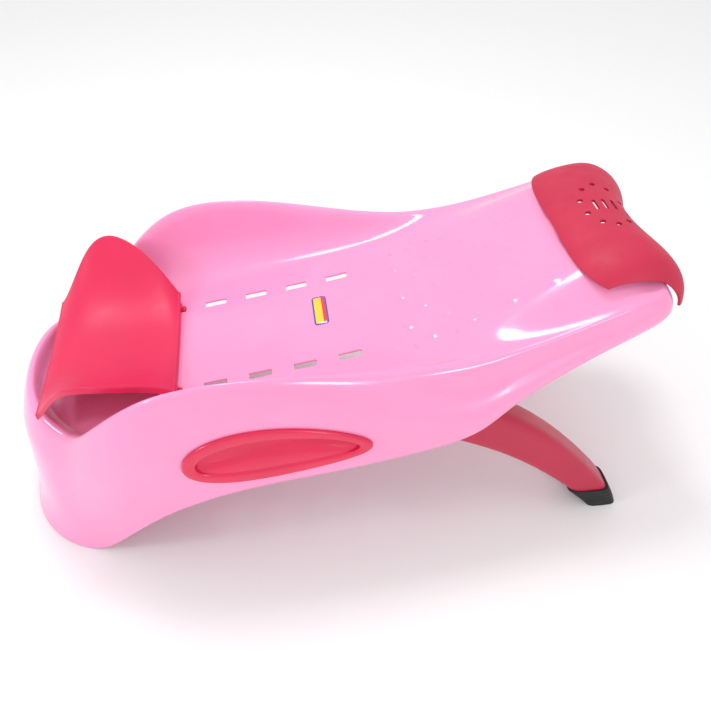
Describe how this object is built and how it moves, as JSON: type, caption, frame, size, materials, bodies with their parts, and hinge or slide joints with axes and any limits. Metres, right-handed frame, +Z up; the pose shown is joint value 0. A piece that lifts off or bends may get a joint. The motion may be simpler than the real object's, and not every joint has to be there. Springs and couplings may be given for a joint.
{
  "type": "child's hair-washing recliner",
  "caption": "Low reclining moulded seat for washing a child's hair, with a curved neck and head rest, a hook-in calf flap, side handles and fold-away rear legs.",
  "frame": {"origin": "on the floor, under the middle of the whole length and width", "axes": "+X from the foot end to the head end, +Y across the seat to the side away from the badge's near edge, +Z up; the seat is the same on both sides of y = 0 apart from the badge"},
  "size_m": [0.9153, 0.442, 0.409],
  "materials": {
    "shell_pink": "glossy moulded polypropylene",
    "rest_red": "matte soft overmould",
    "flap_red": "satin moulded polypropylene",
    "handle_red": "glossy moulded plastic",
    "leg_red": "satin moulded plastic",
    "foot_rubber": "matte rubber",
    "steel": "zinc-plated",
    "cap_black": "moulded",
    "bracket_pink": "moulded",
    "clip_pink": "moulded",
    "clip_grey": "moulded",
    "spacer_white": "moulded",
    "badge_face": "printed foil on plastic"
  },
  "bodies": {
    "seat": {"seat_shell": "shell_pink", "head_rest": "rest_red", "rest_retainers": "clip_grey", "handle_near": "handle_red", "handle_far": "handle_red", "handle_clips": "clip_pink", "bracket_near": "bracket_pink", "bracket_far": "bracket_pink", "bracket_screws": "steel", "spacer_near": "spacer_white", "spacer_far": "spacer_white", "base_pads": "foot_rubber", "badge": "badge_face"},
    "legs": {"leg_near": "leg_red", "leg_far": "leg_red", "leg_brace": "leg_red", "brace_screws": "steel", "foot_near": "foot_rubber", "foot_far": "foot_rubber", "pivot_rod": "steel", "rod_caps": "cap_black"},
    "flap": {"calf_flap": "flap_red"}
  },
  "joints": [
    {"name": "leg_fold", "type": "hinge", "parent": "seat", "child": "legs", "pos_m": [0.13865, 0, 0.222], "axis": [0, 1, 0], "range_deg": [0, 130]},
    {"name": "flap_hinge", "type": "hinge", "parent": "seat", "child": "flap", "pos_m": [-0.20845, 0, 0.21761], "axis": [0, 1, 0], "range_deg": [0, 90]}
  ]
}
